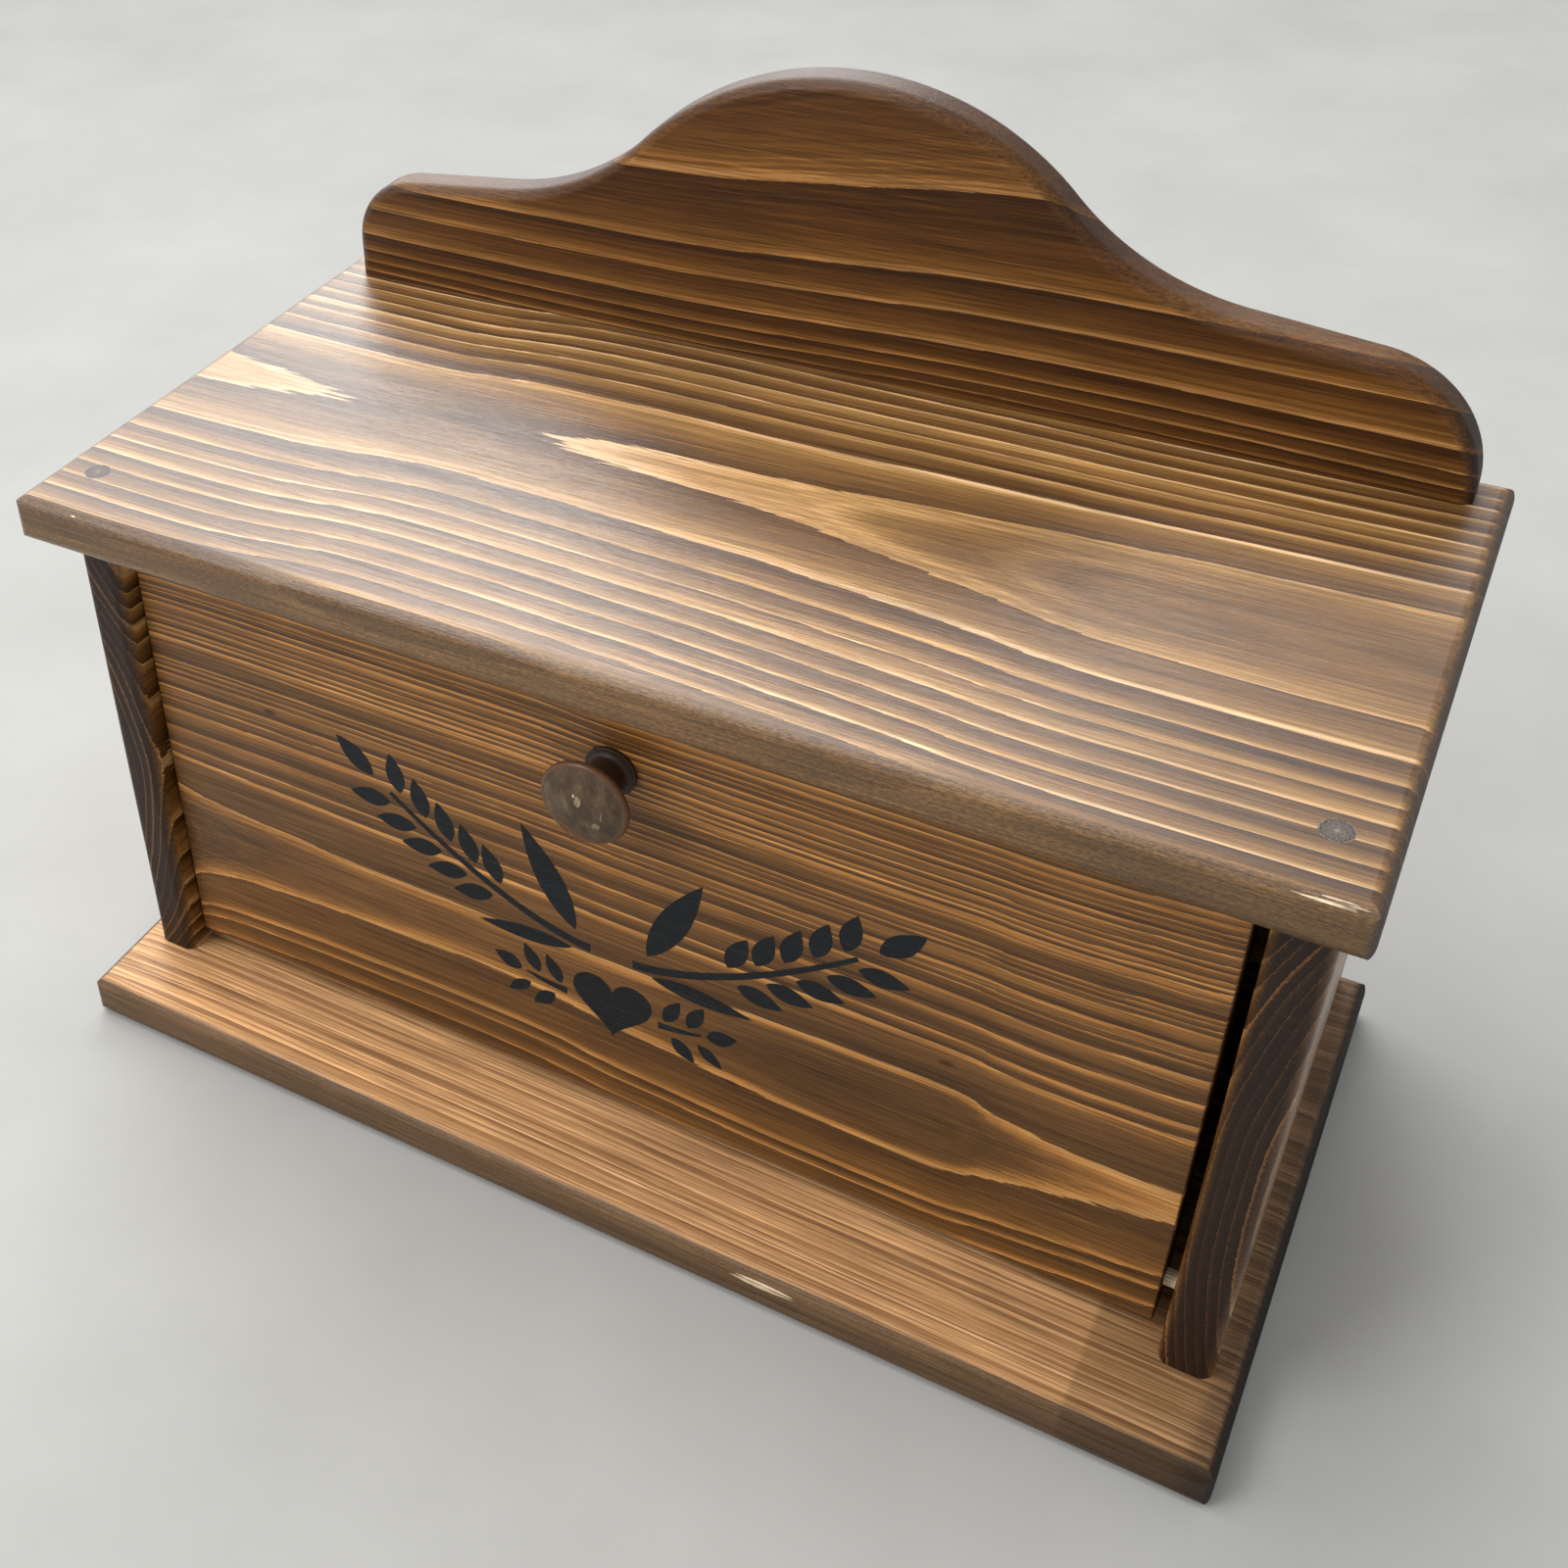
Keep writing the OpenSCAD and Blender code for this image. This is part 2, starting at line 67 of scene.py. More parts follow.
def add(tree, kind, *values, named=(), stops=(), knots=(), **settings):
    """Adds a shader node, sets it up, feeds its open inputs in order and returns its first output.

    named: inputs by name, as pairs. stops: (place, hex code) of a colour ramp. knots: points of a curve.
    """
    made = tree.nodes.new("ShaderNode" + kind)
    for name, value in settings.items():
        setattr(made, name, value)
    fed = list(zip([s for s in made.inputs if s.enabled], values))
    fed += [(made.inputs[name], value) for name, value in named]
    for socket, value in fed:
        if isinstance(value, bpy.types.NodeSocket):
            tree.links.new(value, socket)
        elif value is not None:
            socket.default_value = value
    for i, (place, code) in enumerate(stops):
        # A new ramp comes with two stops.
        row = made.color_ramp.elements
        stop = row[i] if i < 2 else row.new(1.0)
        stop.position = place
        stop.color = colour(code)
    if knots:
        row = made.mapping.curves[0].points
        while len(row) < len(knots):
            row.new(0.5, 0.5)
        for point, spot in zip(row, knots):
            point.location = spot
        made.mapping.update()
    return next((s for s in made.outputs if s.enabled), None)


def empty_material(name):
    """A material with an empty tree, and its tree."""
    made = bpy.data.materials.new(name)
    made.use_nodes = True
    made.node_tree.nodes.clear()
    return made, made.node_tree


print("mid brown in linear light:", [round(c, 3) for c in colour("8a6a50")[:3]])

# %% [markdown]
# ## Growth rings
# A board is cut from a trunk, so its figure is one solid thing: growth rings round the pith, cut by the
# board's faces. The lines on a face, round its rounded edges and on its end grain then always meet.
# Each ring is a distance from the pith. Where the pith comes close to the face and sinks away again,
# the rings open into the long flames of a flat-sawn board. A picture of wood could be wrapped round
# the board instead, but it would break at every edge and repeat on every board.
# All of it is in millimetres on Object coordinates: along the fibres, and two ways across them.

# %% Places in a board
MM = 1000.0  # millimetres in a metre


def board_space(tree, grain, across):
    """Object coordinates in mm, turned so that the first runs along the fibres."""
    place = add(tree, "TexCoord").node.outputs["Object"]
    place = add(tree, "VectorMath", place, (MM, MM, MM), operation="MULTIPLY")
    sides = dict(zip("XYZ", add(tree, "SeparateXYZ", place).node.outputs))
    return add(tree, "CombineXYZ", *(sides[letter] for letter in grain + across))


def streaks(tree, board, grains, detail, roughness, seed):
    """Noise in streaks: grains is how many of them there are to a millimetre, each way of the board."""
    spot = add(tree, "VectorMath", board, grains, (seed, seed, seed), operation="MULTIPLY_ADD")
    return add(tree, "TexNoise", spot, 1.0, detail, roughness)


def smooth_line(tree, value, points):
    """A smooth line through (input, output) points, in the units of the points."""
    xs, ys = np.array(points, float).T
    low, high = float(ys.min()), float(ys.max()) + 1e-6
    share = add(tree, "MapRange", value, float(xs[0]), float(xs[-1]), 0.0, 1.0)
    knots = np.stack([(xs - xs[0]) / (xs[-1] - xs[0]), (ys - low) / (high - low)], 1)
    line = add(tree, "FloatCurve", 1.0, share, knots=knots.tolist())
    return add(tree, "MapRange", line, 0.0, 1.0, low, high)


print("places in a board: along the fibres, then across them, in mm")

# %% Growth rings
def ring_distance(tree, board, cut, seed):
    """Distance along the fibres, and distance from the pith with the trunk's slow wander in it."""
    sway = streaks(tree, board, (0.004, 0.012, 0.012), 1.0, 0.5, seed).node.outputs["Color"]
    sway = add(tree, "VectorMath", sway, (0.5, 0.5, 0.5), operation="SUBTRACT")
    wander = cut.get("wander", 8.0)
    spot = add(tree, "VectorMath", sway, (0.0, wander, wander), board, operation="MULTIPLY_ADD")
    along, side, down = add(tree, "SeparateXYZ", spot).node.outputs
    side = add(tree, "Math", side, smooth_line(tree, along, cut["pith"]), operation="SUBTRACT")
    down = add(tree, "Math", down, smooth_line(tree, along, cut["depth"]), operation="SUBTRACT")
    out = add(tree, "CombineXYZ", side, down, 0.0)
    radius = add(tree, "VectorMath", out, operation="LENGTH").node.outputs["Value"]
    radius = add(tree, "Math", side, cut.get("lean", 0.0), radius, operation="MULTIPLY_ADD")

    # Fibres run a little in and out of a ring, which feathers the tips of the flames.
    stray = streaks(tree, board, (0.02, 0.7, 0.7), 3.0, 0.6, seed + 3)
    stray = add(tree, "MapRange", stray, 0.3, 0.7, -0.3, 0.3)
    return along, add(tree, "Math", radius, stray, operation="ADD")


def growth_rings(tree, board, cut, seed):
    """How far each point is through its ring, from 0 at the start of spring to 1 at the end of summer.

    Good and bad years come in runs, so the count swings a little either way of the average.
    """
    along, radius = ring_distance(tree, board, cut, seed)
    count = smooth_line(tree, radius, cut["rings"])
    weather = add(tree, "CombineXYZ", add(tree, "Math", count, 0.8, operation="MULTIPLY"), seed)
    weather = add(tree, "TexNoise", weather, 1.0, 1.0)
    swing = cut.get("swing", 0.0)
    weather = add(tree, "MapRange", weather, 0.25, 0.75, -swing, swing)
    count = add(tree, "Math", count, weather, operation="ADD")
    through = add(tree, "Math", count, operation="FRACT")

    # No two summers are alike either: some rings end in a broad pale band and some in a hairline.
    year = add(tree, "Math", add(tree, "Math", count, operation="FLOOR"), seed, operation="ADD")
    luck = add(tree, "TexWhiteNoise", year, noise_dimensions="1D")
    summer = add(tree, "MapRange", luck, 0.0, 1.0, *cut.get("summer", (0.7, 2.0)))
    through = add(tree, "Math", through, summer, operation="POWER")

    # Thin layers within a ring show as finer lines beside its own.
    along = add(tree, "Math", along, 0.004, operation="MULTIPLY")
    layer = add(tree, "CombineXYZ", along, radius, seed)
    layer = add(tree, "TexNoise", layer, 0.55, 3.0, 0.75)
    layer = add(tree, "MapRange", layer, 0.35, 0.65, -0.16, 0.16)
    return add(tree, "Clamp", add(tree, "Math", through, layer, operation="ADD"))


print("growth rings: a count of years by distance from the pith")

# %% [markdown]
# ## Dark stain and lacquer
# Pine, planed, routed round its edges, wiped with dark stain and sprayed with lacquer. Stain soaks into
# the soft spring wood and not into the hard summer wood, so each ring starts at its darkest, turns
# golden outwards and ends in a thin pale line. End grain drinks far more of it. Fibres carry the stain
# unevenly in streaks, and a routed edge takes it in specks. Knocks go through to the pale wood.
# One brown with darker lines drawn on it would look printed, so the colour comes from a ramp on how far
# each point is through its ring, as it does where real stain soaks in.
# Fibres are 0.03 mm thick, far too fine to show, so they are drawn in bundles of half a millimetre.
# The lacquer follows them faintly, which breaks up its sheen.

# %% Stain colours
BROWN_STAIN = [
    (0.0, "4a2d13"), (0.12, "5f401e"), (0.45, "7b562d"), (0.74, "956e3d"), (0.89, "b98c57"),
    (0.97, "d2a878"), (1.0, "dfbc8d"),
]
GOLDEN_STAIN = [
    (0.0, "543a20"), (0.15, "634625"), (0.42, "73512c"), (0.62, "876033"), (0.76, "a7763e"),
    (0.92, "b17f45"), (1.0, "bd9057"),
]
THIN_STAIN = [(0.0, "8c6543"), (0.3, "a0774e"), (0.65, "b4885c"), (0.9, "bc9064"), (1.0, "c49a70")]
END_STAIN = [(0.0, "2c1b10"), (0.5, "332115"), (0.82, "3a2617"), (0.93, "694728"), (1.0, "8c6238")]
print("stain:", len(BROWN_STAIN), "stops on the face,", len(END_STAIN), "on end grain")

# %% Faces, edges and spots
# The cosines at which a face starts to be a routed edge or end grain, and at which it is one in full.
ROUTED = (0.99, 0.85)
END_GRAIN = (0.40, 0.95)


def blob(tree, board, centre, half):
    """1 at the middle of an egg of the given half sizes in mm, falling to 0 at its skin."""
    scale = [1 / h for h in half]
    shift = [-c / h for c, h in zip(centre, half)]
    spot = add(tree, "VectorMath", board, scale, shift, operation="MULTIPLY_ADD")
    reach = add(tree, "VectorMath", spot, operation="LENGTH").node.outputs["Value"]
    return add(tree, "MapRange", reach, 1.0, 0.0, 0.0, 1.0)


def turned_faces(tree, grain, thickness):
    """How far a face is turned to the end grain, and how far off the board's broad faces it is.

    Each is read from the cosine between the face's normal and the board's own axis.
    """
    normal = add(tree, "TexCoord").node.outputs["Normal"]
    facing = add(tree, "SeparateXYZ", add(tree, "VectorMath", normal, operation="ABSOLUTE")).node.outputs
    end = add(tree, "MapRange", facing["XYZ".index(grain)], *END_GRAIN, 0.0, 1.0)
    edge = add(tree, "MapRange", facing["XYZ".index(thickness)], *ROUTED, 0.0, 1.0)
    return end, edge


print("an edge starts", round(math.degrees(math.acos(ROUTED[0]))), "degrees off the flat")

# %% Stain and lacquer
FIBRES = ((0.015, 1.0, 1.0), 4.0, 0.72)


def uneven_stain(tree, board, fibre, specked, seed):
    """The share of light that the stain leaves: streaks, hair-thin fibres, clouds, and specks on edges.

    Each noise keeps near a half, so the range round it is spread over the shares of light it leaves.
    """
    hair = streaks(tree, board, (0.03, 2.4, 2.4), 2.0, 0.6, seed + 5)
    broad = streaks(tree, board, (0.004, 0.22, 0.22), 3.0, 0.6, seed + 11)
    cloud = streaks(tree, board, (0.010, 0.018, 0.018), 3.0, 0.6, seed + 17)
    speck = streaks(tree, board, (0.5, 1.5, 1.5), 3.0, 0.7, seed + 23)
    fibre = add(tree, "MapRange", fibre, 0.36, 0.64, 0.66, 1.30)
    hair = add(tree, "MapRange", hair, 0.36, 0.64, 0.74, 1.22)
    broad = add(tree, "MapRange", broad, 0.3, 0.7, 0.82, 1.14)
    cloud = add(tree, "MapRange", cloud, 0.3, 0.7, 0.84, 1.12)
    rough = add(tree, "MapRange", speck, 0.38, 0.62, 0.46, 1.34)
    fine = add(tree, "Math", fibre, hair, operation="MULTIPLY")
    slow = add(tree, "Math", broad, cloud, operation="MULTIPLY")
    shade = add(tree, "Math", fine, slow, operation="MULTIPLY")
    rough = add(tree, "Math", shade, rough, operation="MULTIPLY")
    return add(tree, "Mix", specked, shade, rough, data_type="FLOAT"), speck


def lacquered(tree, wood, shine, fibre, speck, edge, end, bare):
    """The shader: a satin lacquer, duller on end grain and where the wood is bare."""
    lift = add(tree, "Math", fibre, speck, operation="ADD")
    lift = add(tree, "Mix", edge, fibre, lift, data_type="FLOAT")
    bump = add(tree, "Bump", named=[("Strength", 0.5), ("Distance", 0.0004), ("Height", lift)])

    # Satin lacquer has a roughness of about 0.3, sunken end grain has more, and bare wood the most.
    gloss = add(tree, "MapRange", fibre, 0.36, 0.64, 0.34, 0.22)
    gloss = add(tree, "Mix", edge, gloss, 0.30, data_type="FLOAT")
    gloss = add(tree, "Mix", end, gloss, 0.55, data_type="FLOAT")
    if bare is not None:
        gloss = add(tree, "Math", bare, 0.4, gloss, operation="MULTIPLY_ADD")
    shader = add(tree, "BsdfPrincipled", named=[
        ("Base Color", wood), ("Roughness", gloss), ("Normal", bump), ("Specular IOR Level", shine),
    ])
    add(tree, "OutputMaterial", shader)


print("fibres:", FIBRES[0][1], "to a millimetre across the board")

# %% A stained board
PIN_KNOT = (4.0, 1.7, 4.0)


def pine(name, grain, across, seed, stain, tint, shine, soak=(0, 1), even=0.4, rim=0.8, darker_along=(),
         knots=(), chips=(), **cut):
    """Stained, lacquered pine.

    grain and across: the letter of the axis along the fibres, and of the two across it, thickness last.
    pith and depth: where the middle of the trunk lies on those two, as (place along, place) points.
    rings: (distance from the pith, rings passed) points. lean: how much growth favours one side.
    wander: how far the rings sway. swing: how many rings the count strays by in good and bad years.
    summer: the power that shapes a ring, between the broadest pale band and the thinnest.
    stain, soak and tint: the ramp, the part of it used and its strength on this board.
    shine: how much the lacquer reflects, which is less where it is thin.
    even: how much the figure gives way to specks on the routed edges, where stain soaks in two ways.
    rim: share of light left on the routed edges, which are darker for it.
    darker_along: (place along, share of light) points along the board; on the base's right end, painted
    shade.
    knots: middles of pin knots. chips: (middle, half sizes) of knocks through the stain. All in mm.
    """
    made, tree = empty_material(name)
    board = board_space(tree, grain, across)
    growth = growth_rings(tree, board, cut, seed)
    end, edge = turned_faces(tree, grain, across[1])
    fibre = streaks(tree, board, *FIBRES, seed + 7)
    soaked = add(tree, "Math", edge, even, operation="MULTIPLY")
    shade, speck = uneven_stain(tree, board, fibre, soaked, seed)

    # The ring's colour first, then the stain's unevenness, the darker edges and the darkening along the
    # board.
    soaked = add(tree, "Mix", soaked, growth, 0.5, data_type="FLOAT")
    wood = add(tree, "ValToRGB", add(tree, "MapRange", soaked, 0.0, 1.0, *soak), stops=stain)
    wood = add(tree, "Mix", end, wood, add(tree, "ValToRGB", growth, stops=END_STAIN), data_type="RGBA")
    shade = add(tree, "VectorMath", tint, shade, operation="SCALE")
    wood = add(tree, "Mix", 1.0, wood, shade, data_type="RGBA", blend_type="MULTIPLY")
    rim = add(tree, "MapRange", edge, 0.0, 1.0, 1.0, rim)
    wood = add(tree, "VectorMath", wood, rim, operation="SCALE")
    # Painted shade: the wood is darkened along the board, most on the base's strip beyond the right side,
    # under the top's overhang.
    if darker_along:
        wear_and_shade = smooth_line(tree, add(tree, "SeparateXYZ", board), darker_along)
        wood = add(tree, "VectorMath", wood, wear_and_shade, operation="SCALE")

    # Knots and chips lie on top. A chip ends where it runs out of fibres to tear, so its rim is ragged.
    for middle in knots:
        dark = blob(tree, board, middle, PIN_KNOT)
        dark = add(tree, "MapRange", dark, 0.0, 0.6, 0.0, 0.8)
        wood = add(tree, "Mix", dark, wood, colour("3a1a0c"), data_type="RGBA")
    bare = None
    for middle, half in chips:
        torn = add(tree, "MapRange", fibre, 0.40, 0.56, 0.0, 3.2)
        torn = add(tree, "Math", blob(tree, board, middle, half), torn, operation="MULTIPLY")
        torn = add(tree, "Math", torn, 0.55, operation="GREATER_THAN")
        bare = torn if bare is None else add(tree, "Math", bare, torn, operation="MAXIMUM")
        wood = add(tree, "Mix", torn, wood, colour("e2cba8"), data_type="RGBA")
    lacquered(tree, wood, shine, fibre, speck, edge, end, bare)
    return made


print("stained pine, with pin knots of", 2 * PIN_KNOT[0], "by", 2 * PIN_KNOT[1], "mm")

# %% [markdown]
# ## One trunk for each board
# The places of the pith and of the rings are read off the real boards: the flames of the top and of the
# door fix the pith, and the lines beside them fix the rings. Where the pith's depth stays close to a
# ring's own radius, that ring grazes the face, and its edge tears into a ragged tip. The side boards
# run front to back, so their front edges are end grain, crossed by thin arcs.

# %% The boards
pines = {
    "top_board": pine(
        "top_pine", "X", "YZ", 0.0, BROWN_STAIN, tint=(0.97, 0.98, 1.0), shine=0.6,
        soak=(0.02, 0.98), even=0.8, rim=0.75,
        darker_along=[(-240, 0.94), (-60, 0.98), (130, 0.98), (190, 0.86), (240, 0.80)],
        pith=[(-240, 10), (-173, 9), (-83, 17), (0, 15), (50, 13), (100, 10.5), (150, 8), (240, 9)],
        depth=[
            (-240, 212.3), (-173, 210.8), (-128, 209.6), (-83, 210.2), (-60, 210.8), (-17, 211.3),
            (24, 212.2), (50, 213.6), (97, 216.2), (150, 219.9), (240, 222.0),
        ],
        rings=[(30, 0.05), (45, 0.62), (50.2, 1.0), (62.5, 2.0), (95.7, 6.0), (140, 11.5)],
        lean=0.06, wander=4.0,
        chips=[((226, -110.4, 259.4), (13, 1.5, 1.5)), ((-211, -110, 259), (3, 1, 1))],
    ),
    "door_panel": pine(
        "door_pine", "X", "ZY", 5.0, GOLDEN_STAIN, tint=(1.02, 0.93, 0.86), shine=0.25,
        pith=[(-212, 84), (-62, 88), (0, 85), (120, 83.5), (185, 86), (208, 88)],
        depth=[
            (-212, -46.4), (-62, -40), (0, -41.1), (120, -43.0), (142, -40.8), (163, -39.2),
            (185, -38.3), (208, -37.9),
        ],
        rings=[
            (30, 0.1), (43.6, 0.45), (46, 1), (57, 2), (63.3, 3), (70.5, 4), (78.4, 5), (84, 6.3),
            (88, 7.9), (95, 9.3), (101, 11.6), (110, 13.6), (118, 16.6), (128, 19.4), (136, 22.5),
            (150, 26.5), (165, 31.5),
        ],
        wander=5.0, summer=(0.45, 3.0), swing=0.35,
        knots=[(125, 116, -84), (-154, 170, -84), (46, 63, -84)],
    ),
    "backsplash": pine(
        "backsplash_pine", "X", "ZY", 9.0, BROWN_STAIN, tint=(0.52, 0.41, 0.26), shine=0.22,
        soak=(0.04, 0.98),
        pith=[(-228, 400), (0, 395), (228, 388)],
        depth=[(-228, 121), (-100, 128), (0, 146), (62, 155), (228, 161)],
        rings=[(30, 0.1), (68.8, 1), (95.8, 2), (107.7, 3), (119.9, 4), (127.4, 5), (137, 7), (150, 10)],
        wander=4.0,
    ),
    "base_board": pine(
        "base_pine", "X", "YZ", 13.0, THIN_STAIN, tint=(1.37, 1.37, 1.38), shine=0.2, even=0.3, rim=0.22,
        # Darker past 188 mm, then painted shade on the strip beyond the right side, under the top's
        # overhang.
        darker_along=[
            (-242, 0.92), (-120, 1.0), (60, 0.97), (188, 0.95), (191, 0.68), (226, 0.55), (234, 0.33),
            (242, 0.24),
        ],
        pith=[(-242, 60), (0, 62), (242, 60)],
        depth=[(-242, -60), (0, -61), (242, -60)],
        rings=[(20, 0.1), (178.3, 46), (214, 57)], wander=5.0, summer=(0.6, 1.6), swing=0.6,
        chips=[((80, -127.0, 14.0), (19, 2.6, 2.2))],
    ),
    "left_side": pine(
        "left_side_pine", "Y", "ZX", 17.0, BROWN_STAIN, tint=(0.8, 0.72, 0.6), shine=0.3, even=0.2,
        pith=[(-93, 120), (123, 112)],
        depth=[(-93, -385), (123, -380)],
        rings=[(120, 0.1), (200, 20)], wander=14.0,
    ),
    "right_side": pine(
        "right_side_pine", "Y", "ZX", 21.0, BROWN_STAIN, tint=(0.8, 0.72, 0.6), shine=0.3, even=0.2,
        pith=[(-93, 110), (123, 118)],
        depth=[(-93, 544), (123, 540)],
        rings=[(290, 0.1), (350, 17)], wander=6.0,
    ),
}
for name, made in pines.items():
    nodes[name].data.materials[0] = made
print("pine on", ", ".join(pines))

# %% [markdown]
# ## The scalloped backsplash
# It was sawn from one board and routed round its edge. Its outline is a chain of arcs, each touching
# the next: a crest, a hollow cove on either side, a sloping shoulder and a round end. The CAD node has
# the same form in facets. Here the chain is drawn with a point every degree, and the routed edge's
# section is carried along it, so that the lacquer's highlight runs smoothly. A bevel on an extruded
# outline could make it too, but it pinches where a cove meets a crest.

# %% The backsplash's outline
EDGE_R = 5.0
CREST_X, CREST_HIGH, CREST_R = -5.0, 116.0, 118.5
COVE_END = np.array([149.0, 50.5])
FALL = math.radians(6.0)
LEFT_END_R, RIGHT_END_R = 30.0, 44.0


def box_mm(name):
    """The lowest and the highest corner of a CAD node, in mm."""
    return [np.array(corner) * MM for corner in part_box(name)]


def arc(centre, radius, start, stop, outward=1):
    """Rows of x, height and direction out of the wood: the centre plus the radius times each direction."""
    turn = np.radians(np.linspace(start, stop, max(3, int(abs(stop - start)) + 1)))
    way = np.stack([np.cos(turn), np.sin(turn)], 1)
    return np.hstack([centre + radius * way, outward * way])


def half_outline(reach, end_r):
    """From the foot of one end to the middle of the crest, which is at 0.

    The cove's radius is the one that makes it touch both the crest's arc and the shoulder's line.
    """
    out = np.array([math.sin(FALL), math.cos(FALL)])
    crest = np.array([0.0, CREST_HIGH - CREST_R])
    gap = COVE_END - crest
    cove_r = (gap @ gap - CREST_R**2) / (2 * (CREST_R - gap @ out))
    cove = COVE_END + cove_r * out
    meet = math.degrees(math.atan2(*(cove - crest)[::-1]))
    shoulder = COVE_END[1] - (end_r + (reach - end_r - COVE_END[0]) * out[0]) / out[1]
    lean = 90 - math.degrees(FALL)
    return np.vstack([
        [[reach, 0.0, 1.0, 0.0]],
        arc((reach - end_r, shoulder), end_r, 0, lean),
        arc(cove, cove_r, lean + 180, meet + 180, outward=-1),
        arc(crest, CREST_R, meet, 90)[1:],
    ])


low, high = box_mm("backsplash")
right_half = half_outline(high[0] - CREST_X, RIGHT_END_R)
left_half = half_outline(CREST_X - low[0], LEFT_END_R)[::-1][1:] * (-1, 1, -1, 1)
outline = np.vstack([right_half, left_half])
print("outline of", len(outline), "stations, crest at", round(float(outline[:, 1].max()), 2), "mm")

# %% The backsplash
def new_piece(name, verts, faces, body, made):
    """A mesh object from places in mm, riding on a body."""
    mesh = bpy.data.meshes.new(name)
    mesh.from_pydata((verts / MM).tolist(), [], faces)
    mesh.materials.append(made)
    piece = bpy.data.objects.new(name, mesh)
    bpy.context.collection.objects.link(piece)
    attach(piece, body)
    return piece


def routed_outline(stations, thickness, radius, steps=10):
    """The routed edge's section, carried from station to station: its points, its quads and its caps.

    A quarter circle comes out from the front face, the thickness runs across, and another goes back in.
    Each point is set in from the outline by its inset. The caps are the front, the back and the underside.
    """
    turn = np.radians(np.linspace(0, 90, steps + 1))
    front = np.stack([radius * (1 - np.sin(turn)), radius * (1 - np.cos(turn))], 1)
    section = np.vstack([front, np.stack([front[::-1, 0], thickness - front[::-1, 1]], 1)])
    x, z, u, v = (column[:, None] for column in stations.T)
    inset, y = section.T
    verts = np.stack([x - inset * u, np.broadcast_to(y, (len(stations), len(y))), z - inset * v], -1)
    grid = np.arange(verts[..., 0].size).reshape(verts.shape[:2])
    quads = np.stack([grid[:-1, :-1], grid[1:, :-1], grid[1:, 1:], grid[:-1, 1:]], -1).reshape(-1, 4)
    caps = [grid[::-1, 0], grid[:, -1], np.hstack([grid[0], grid[-1, ::-1]])]
    return verts.reshape(-1, 3), quads.tolist(), [cap.tolist() for cap in caps]


verts, quads, caps = routed_outline(outline, high[1] - low[1], EDGE_R)
verts += (CREST_X, low[1], low[2])
faces = quads + caps
splash = new_piece("backsplash_board", verts, faces, "case", pines["backsplash"])
splash.data.polygons.foreach_set("use_smooth", [True] * len(quads) + [False] * len(caps))
splash.data.set_sharp_from_angle(angle=math.radians(50))
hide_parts("backsplash")
print("backsplash:", len(verts), "points,", len(faces), "faces")

# %% [markdown]
# ## Plugs
# Two wooden plugs fill the holes over the front screws of the top. Their end grain drank the stain and
# went nearly black, glue left a dark line round them, the sanding left a pale one outside that, and the
# point of the plug cutter left a pale dot in the middle. A plain dark disc would look painted on. Each
# mark shows as a ring round the plug's own axis, so the finish is a ramp on the distance from that axis,
# which a little noise makes uneven.

# %% End-grain plugs
PLUG_R = 5.0  # the ramp ends here
PLUG_END = [
    (0.0, "8f7e6c"), (0.10, "75665a"), (0.17, "55463a"), (0.45, "4a3c33"), (0.80, "463830"),
    (0.88, "211813"), (0.93, "2b201a"), (0.97, "7c6957"), (1.0, "6c5947"),
]


def plug_wood(name, x, y, seed):
    """A stained plug round an upright axis at x, y in mm."""
    made, tree = empty_material(name)
    board = board_space(tree, "Z", "XY")
    pores = streaks(tree, board, (0.3, 1.3, 1.3), 3.0, 0.7, seed)
    flat = add(tree, "VectorMath", board, (0.0, 1.0, 1.0), (0.0, -x, -y), operation="MULTIPLY_ADD")
    reach = add(tree, "VectorMath", flat, operation="LENGTH").node.outputs["Value"]
    uneven = add(tree, "MapRange", pores, 0.3, 0.7, -0.35, 0.35)
    reach = add(tree, "Math", reach, uneven, operation="ADD")
    wood = add(tree, "ValToRGB", add(tree, "MapRange", reach, 0.0, PLUG_R, 0.0, 1.0), stops=PLUG_END)
    pores = add(tree, "MapRange", pores, 0.35, 0.65, 0.62, 1.30)
    wood = add(tree, "VectorMath", wood, pores, operation="SCALE")
    bump = add(tree, "Bump", named=[("Strength", 0.5), ("Distance", 0.0003), ("Height", pores)])
    shader = add(tree, "BsdfPrincipled", named=[
        ("Base Color", wood), ("Normal", bump), ("Roughness", 0.36),
    ])
    add(tree, "OutputMaterial", shader)
    return made


for side in ("left", "right"):
    x, y = np.mean(box_mm(side + "_plug"), 0)[:2].tolist()
    nodes[side + "_plug"].data.materials[0] = plug_wood(side + "_plug_wood", x, y, 31.0 + x / 100)
    print(side, "plug at", round(x, 2), round(y, 2), "mm")

# %% [markdown]
# ## The turned knob
# A beech knob, turned on a lathe, stained dark and handled for years. Its face is grey brown with olive
# streaks where hands have thinned the stain, the lathe's centre left a pale crushed spot, and the rim has
# worn to red brown. The neck and foot are nearly black, which is painted shade behind the face.
# The wear follows the shape, so it is worked out from the distance to the knob's axis and along it.

# %% Turned beech
BEECH_STAIN = [(0.0, "2f2116"), (0.35, "402f20"), (0.55, "4d3b29"), (0.75, "5c4a34"), (1.0, "6f5d44")]


